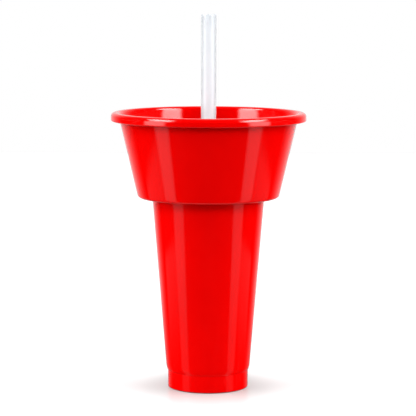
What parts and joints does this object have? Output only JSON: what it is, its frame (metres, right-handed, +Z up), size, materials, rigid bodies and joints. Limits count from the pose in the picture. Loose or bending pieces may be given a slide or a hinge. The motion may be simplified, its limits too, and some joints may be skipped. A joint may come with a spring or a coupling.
{
  "type": "snack and drink cup",
  "caption": "Reusable tapered plastic drink cup with a wide snack bowl that screws into its mouth and a straw rising through the bowl's centre.",
  "frame": {"origin": "centre of the foot's underside, on the surface that the cup stands on", "axes": "+Z up along the cup's axis, towards the straw's mouth; +X and +Y square to it, the shape being round"},
  "size_m": [0.15, 0.15, 0.2882],
  "materials": {
    "cup_red": "glossy moulded polypropylene, opaque red",
    "bowl_red": "glossy moulded polypropylene, opaque red",
    "seal_silicone": "satin natural silicone",
    "grommet_silicone": "satin natural silicone",
    "straw_milky": "milky, slightly see-through polyethylene with a soft gloss"
  },
  "bodies": {
    "cup": {"drink_cup": "cup_red"},
    "seal": {"bowl_seal_ring": "seal_silicone"},
    "bowl": {"snack_bowl": "bowl_red", "straw_grommet": "grommet_silicone"},
    "straw": {"straw": "straw_milky"}
  },
  "joints": [
    {"name": "bowl_lift", "type": "slide", "parent": "cup", "child": "seal", "axis": [0, 0, 1], "range_m": [0, 0.00505]},
    {"name": "bowl_turn", "type": "hinge", "parent": "seal", "child": "bowl", "pos_m": [0, 0, 0.148], "axis": [0, 0, 1], "range_deg": [0, 150]},
    {"name": "straw_slide", "type": "slide", "parent": "bowl", "child": "straw", "axis": [0, 0, 1], "range_m": [0, 0.14]}
  ],
  "couplings": [
    {"joint": "bowl_lift", "follows": "bowl_turn", "m_per_rad": 0.0019099}
  ]
}
